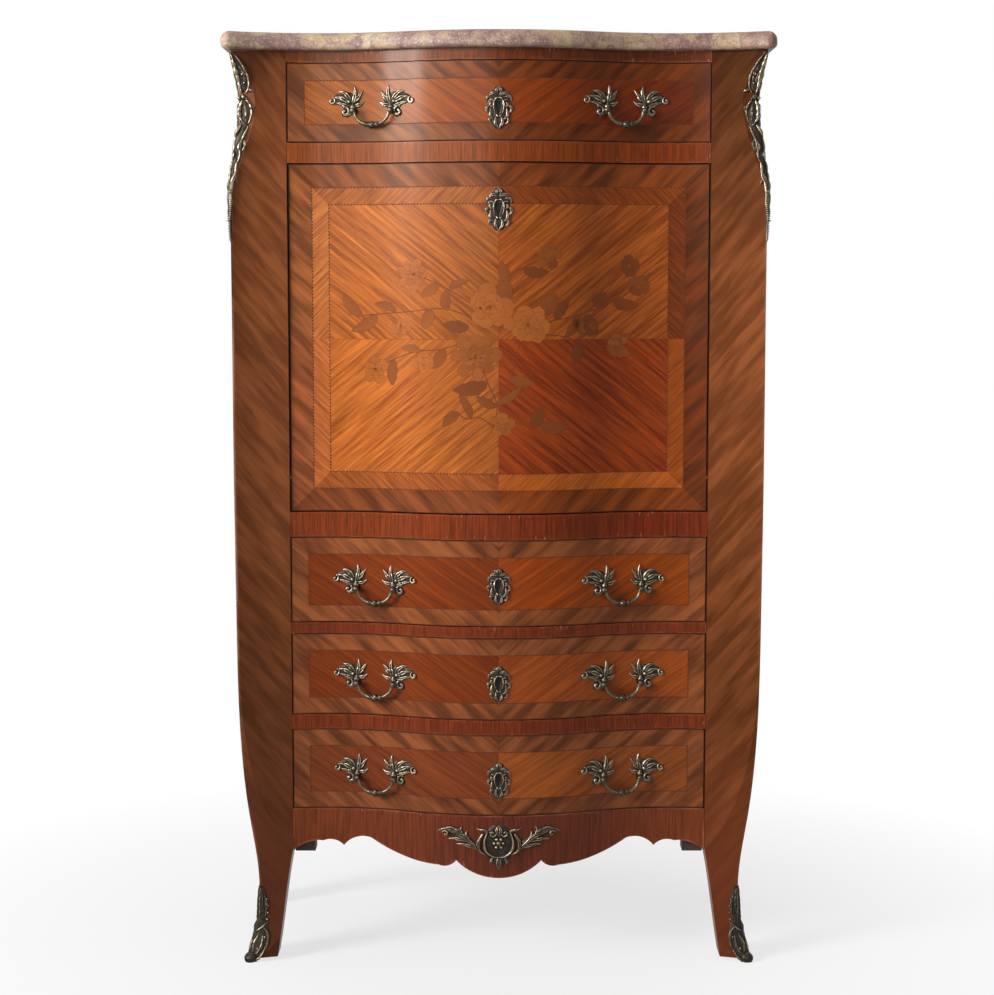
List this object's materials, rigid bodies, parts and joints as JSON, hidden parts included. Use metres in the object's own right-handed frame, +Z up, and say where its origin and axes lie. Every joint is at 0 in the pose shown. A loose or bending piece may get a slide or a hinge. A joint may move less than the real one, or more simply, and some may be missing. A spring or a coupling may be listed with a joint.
{
  "type": "drop-front secretaire",
  "caption": "Serpentine drop-front secretaire: marble top, swinging writing flap over pigeonholes, drawers on runners, cabriole front legs and bronze mounts.",
  "frame": {"origin": "on the floor, under the middle of the overall box", "axes": "+Z up, the front faces -Y, +X to the viewer's right when facing the front"},
  "size_m": [0.793, 0.398, 1.3665],
  "materials": {
    "marble": "polished breccia, cream and mauve",
    "case_veneer": "satin varnished tulipwood and rosewood veneer",
    "drawer_veneer": "satin varnished diagonal veneer with a darker border",
    "fall_marquetry": "satin varnished quartered veneer with a floral spray",
    "interior_veneer": "waxed interior veneer",
    "drawer_oak": "plain oak drawer linings",
    "carcase_oak": "unfinished oak",
    "bronze": "dull patinated gilt bronze",
    "brass": "plain brass",
    "lock_steel": "dull steel",
    "leather": "tooled writing leather"
  },
  "bodies": {
    "carcase": {"marble_top": "marble", "front_post_left": "case_veneer", "front_post_right": "case_veneer", "rear_posts": "case_veneer", "side_panel_left": "case_veneer", "side_panel_right": "case_veneer", "back_panel": "carcase_oak", "top_board": "carcase_oak", "bottom_board": "carcase_oak", "frieze_rail": "case_veneer", "upper_rail": "case_veneer", "desk_rail": "case_veneer", "drawer_rails": "case_veneer", "apron": "case_veneer", "drawer_runners": "carcase_oak", "dust_boards": "carcase_oak", "compartment_boards": "interior_veneer", "pigeonhole_case": "interior_veneer", "pivot_plates": "brass", "corner_mount_left": "bronze", "corner_mount_right": "bronze", "sabot_left": "bronze", "sabot_right": "bronze", "apron_mount": "bronze"},
    "fall": {"fall_panel": "fall_marquetry", "writing_leather": "leather", "fall_escutcheon": "bronze", "fall_lock": "lock_steel", "fall_pivots": "brass"},
    "fall_bolt": {"fall_bolt": "lock_steel"},
    "drawer_1": {"drawer_1_front": "drawer_veneer", "drawer_1_box": "drawer_oak", "drawer_1_mounts": "bronze", "drawer_1_lock": "lock_steel"},
    "drawer_1_bolt": {"drawer_1_bolt": "lock_steel"},
    "drawer_1_bail_left": {"drawer_1_bail_left": "bronze"},
    "drawer_1_bail_right": {"drawer_1_bail_right": "bronze"},
    "drawer_2": {"drawer_2_front": "drawer_veneer", "drawer_2_box": "drawer_oak", "drawer_2_mounts": "bronze", "drawer_2_lock": "lock_steel"},
    "drawer_2_bolt": {"drawer_2_bolt": "lock_steel"},
    "drawer_2_bail_left": {"drawer_2_bail_left": "bronze"},
    "drawer_2_bail_right": {"drawer_2_bail_right": "bronze"},
    "drawer_3": {"drawer_3_front": "drawer_veneer", "drawer_3_box": "drawer_oak", "drawer_3_mounts": "bronze", "drawer_3_lock": "lock_steel"},
    "drawer_3_bolt": {"drawer_3_bolt": "lock_steel"},
    "drawer_3_bail_left": {"drawer_3_bail_left": "bronze"},
    "drawer_3_bail_right": {"drawer_3_bail_right": "bronze"},
    "drawer_4": {"drawer_4_front": "drawer_veneer", "drawer_4_box": "drawer_oak", "drawer_4_mounts": "bronze", "drawer_4_lock": "lock_steel"},
    "drawer_4_bolt": {"drawer_4_bolt": "lock_steel"},
    "drawer_4_bail_left": {"drawer_4_bail_left": "bronze"},
    "drawer_4_bail_right": {"drawer_4_bail_right": "bronze"},
    "small_drawer_left": {"small_drawer_left": "interior_veneer"},
    "small_drawer_right": {"small_drawer_right": "interior_veneer"}
  },
  "joints": [
    {"name": "fall_hinge", "type": "hinge", "parent": "carcase", "child": "fall", "pos_m": [0, -0.1325, 0.7255], "axis": [1, 0, 0], "range_deg": [0, 90]},
    {"name": "fall_bolt_throw", "type": "slide", "parent": "fall", "child": "fall_bolt", "axis": [0, 0, 1], "range_m": [0, 0.008]},
    {"name": "drawer_1_slide", "type": "slide", "parent": "carcase", "child": "drawer_1", "axis": [0, -1, 0], "range_m": [0, 0.25]},
    {"name": "drawer_1_bolt_throw", "type": "slide", "parent": "drawer_1", "child": "drawer_1_bolt", "axis": [0, 0, 1], "range_m": [0, 0.008]},
    {"name": "drawer_1_bail_left_swing", "type": "hinge", "parent": "drawer_1", "child": "drawer_1_bail_left", "pos_m": [-0.1825, -0.15636, 1.256], "axis": [-0.9738, 0.2275, 0], "range_deg": [0, 95]},
    {"name": "drawer_1_bail_right_swing", "type": "hinge", "parent": "drawer_1", "child": "drawer_1_bail_right", "pos_m": [0.1825, -0.15636, 1.256], "axis": [-0.9738, -0.2275, 0], "range_deg": [0, 95]},
    {"name": "drawer_2_slide", "type": "slide", "parent": "carcase", "child": "drawer_2", "axis": [0, -1, 0], "range_m": [0, 0.25]},
    {"name": "drawer_2_bolt_throw", "type": "slide", "parent": "drawer_2", "child": "drawer_2_bolt", "axis": [0, 0, 1], "range_m": [0, 0.008]},
    {"name": "drawer_2_bail_left_swing", "type": "hinge", "parent": "drawer_2", "child": "drawer_2_bail_left", "pos_m": [-0.1825, -0.15636, 0.56275], "axis": [-0.9738, 0.2275, 0], "range_deg": [0, 95]},
    {"name": "drawer_2_bail_right_swing", "type": "hinge", "parent": "drawer_2", "child": "drawer_2_bail_right", "pos_m": [0.1825, -0.15636, 0.56275], "axis": [-0.9738, -0.2275, 0], "range_deg": [0, 95]},
    {"name": "drawer_3_slide", "type": "slide", "parent": "carcase", "child": "drawer_3", "axis": [0, -1, 0], "range_m": [0, 0.25]},
    {"name": "drawer_3_bolt_throw", "type": "slide", "parent": "drawer_3", "child": "drawer_3_bolt", "axis": [0, 0, 1], "range_m": [0, 0.008]},
    {"name": "drawer_3_bail_left_swing", "type": "hinge", "parent": "drawer_3", "child": "drawer_3_bail_left", "pos_m": [-0.1825, -0.15636, 0.422], "axis": [-0.9738, 0.2275, 0], "range_deg": [0, 95]},
    {"name": "drawer_3_bail_right_swing", "type": "hinge", "parent": "drawer_3", "child": "drawer_3_bail_right", "pos_m": [0.1825, -0.15636, 0.422], "axis": [-0.9738, -0.2275, 0], "range_deg": [0, 95]},
    {"name": "drawer_4_slide", "type": "slide", "parent": "carcase", "child": "drawer_4", "axis": [0, -1, 0], "range_m": [0, 0.25]},
    {"name": "drawer_4_bolt_throw", "type": "slide", "parent": "drawer_4", "child": "drawer_4_bolt", "axis": [0, 0, 1], "range_m": [0, 0.008]},
    {"name": "drawer_4_bail_left_swing", "type": "hinge", "parent": "drawer_4", "child": "drawer_4_bail_left", "pos_m": [-0.1825, -0.15636, 0.27925], "axis": [-0.9738, 0.2275, 0], "range_deg": [0, 95]},
    {"name": "drawer_4_bail_right_swing", "type": "hinge", "parent": "drawer_4", "child": "drawer_4_bail_right", "pos_m": [0.1825, -0.15636, 0.27925], "axis": [-0.9738, -0.2275, 0], "range_deg": [0, 95]},
    {"name": "small_drawer_left_slide", "type": "slide", "parent": "carcase", "child": "small_drawer_left", "axis": [0, -1, 0], "range_m": [0, 0.09]},
    {"name": "small_drawer_right_slide", "type": "slide", "parent": "carcase", "child": "small_drawer_right", "axis": [0, -1, 0], "range_m": [0, 0.09]}
  ]
}
